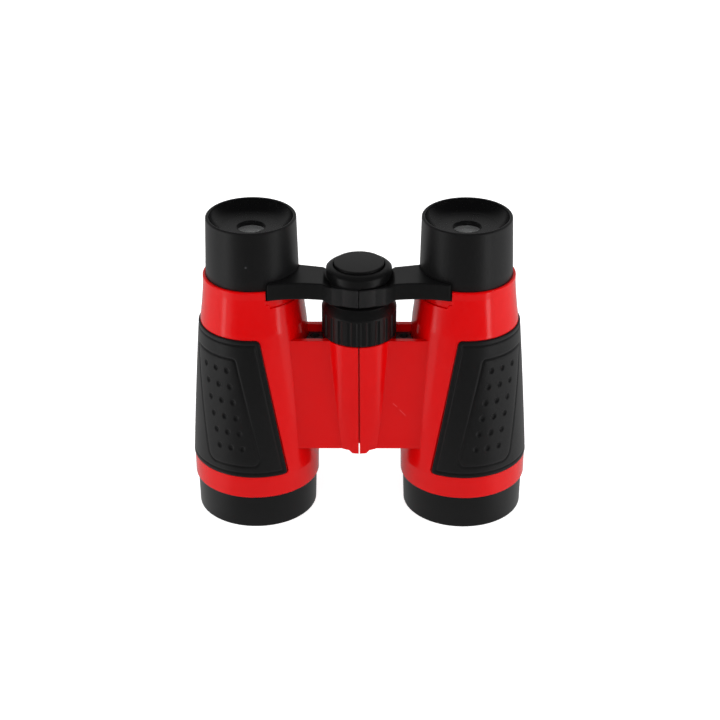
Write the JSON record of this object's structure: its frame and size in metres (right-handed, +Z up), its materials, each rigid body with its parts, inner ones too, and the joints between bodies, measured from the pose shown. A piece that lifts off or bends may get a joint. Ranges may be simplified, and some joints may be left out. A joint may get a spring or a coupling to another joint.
{
  "type": "toy binoculars",
  "caption": "Toy binoculars with red barrels, dimpled black grips, a folding hinge and a centre focus wheel that raises the eyepieces.",
  "frame": {"origin": "on the surface it stands on, at the middle of its outline seen from above, midway between the barrel axes", "axes": "+Z up along the barrels, from the front rings to the eyepieces; +X from the left barrel to the right one as the picture shows them; +Y to the back, away from the hinge covers"},
  "size_m": [0.0966, 0.0366, 0.0912],
  "materials": {
    "red_shell": "glossy moulded red",
    "grip_rubber": "soft black, dimpled",
    "front_ring_black": "semi-gloss moulded black",
    "eyepiece_black": "semi-gloss moulded black",
    "bridge_black": "satin moulded black",
    "wheel_black": "satin moulded black, fluted",
    "inner_black": "plain moulded black",
    "lens_clear": "clear, polished",
    "clip_steel": "bright spring steel",
    "washer_white": "plain natural nylon"
  },
  "bodies": {
    "left_barrel": {"left_barrel": "red_shell", "left_grip": "grip_rubber", "left_front_ring": "front_ring_black", "left_objective_lens": "lens_clear", "left_strap_lug": "inner_black", "hinge_axle": "inner_black"},
    "right_barrel": {"right_barrel": "red_shell", "right_grip": "grip_rubber", "right_front_ring": "front_ring_black", "right_objective_lens": "lens_clear", "right_strap_lug": "inner_black"},
    "focus_wheel": {"focus_wheel": "wheel_black", "focus_screw": "inner_black", "wheel_washer": "washer_white", "spindle_clip": "clip_steel"},
    "left_eyepiece": {"left_eyepiece_tube": "eyepiece_black", "left_eye_lens": "lens_clear", "left_eye_lens_retainer": "inner_black", "left_bridge_arm": "bridge_black", "bridge_cap": "bridge_black", "hub_keeper": "inner_black"},
    "right_eyepiece": {"right_eyepiece_tube": "eyepiece_black", "right_eye_lens": "lens_clear", "right_eye_lens_retainer": "inner_black", "right_bridge_arm": "bridge_black"}
  },
  "joints": [
    {"name": "barrel_fold", "type": "hinge", "parent": "left_barrel", "child": "right_barrel", "pos_m": [0, -0.005, 0], "axis": [0, 0, 1], "range_deg": [0, 40]},
    {"name": "focus_turn", "type": "hinge", "parent": "left_barrel", "child": "focus_wheel", "pos_m": [0, -0.005, 0], "axis": [0, 0, 1], "range_deg": [-360, 0]},
    {"name": "left_eyepiece_slide", "type": "slide", "parent": "left_barrel", "child": "left_eyepiece", "axis": [0, 0, 1], "range_m": [0, 0.005]},
    {"name": "right_eyepiece_slide", "type": "slide", "parent": "right_barrel", "child": "right_eyepiece", "axis": [0, 0, 1], "range_m": [0, 0.005]}
  ],
  "couplings": [
    {"joint": "left_eyepiece_slide", "follows": "focus_turn", "m_per_rad": -0.00079577},
    {"joint": "right_eyepiece_slide", "follows": "focus_turn", "m_per_rad": -0.00079577}
  ]
}
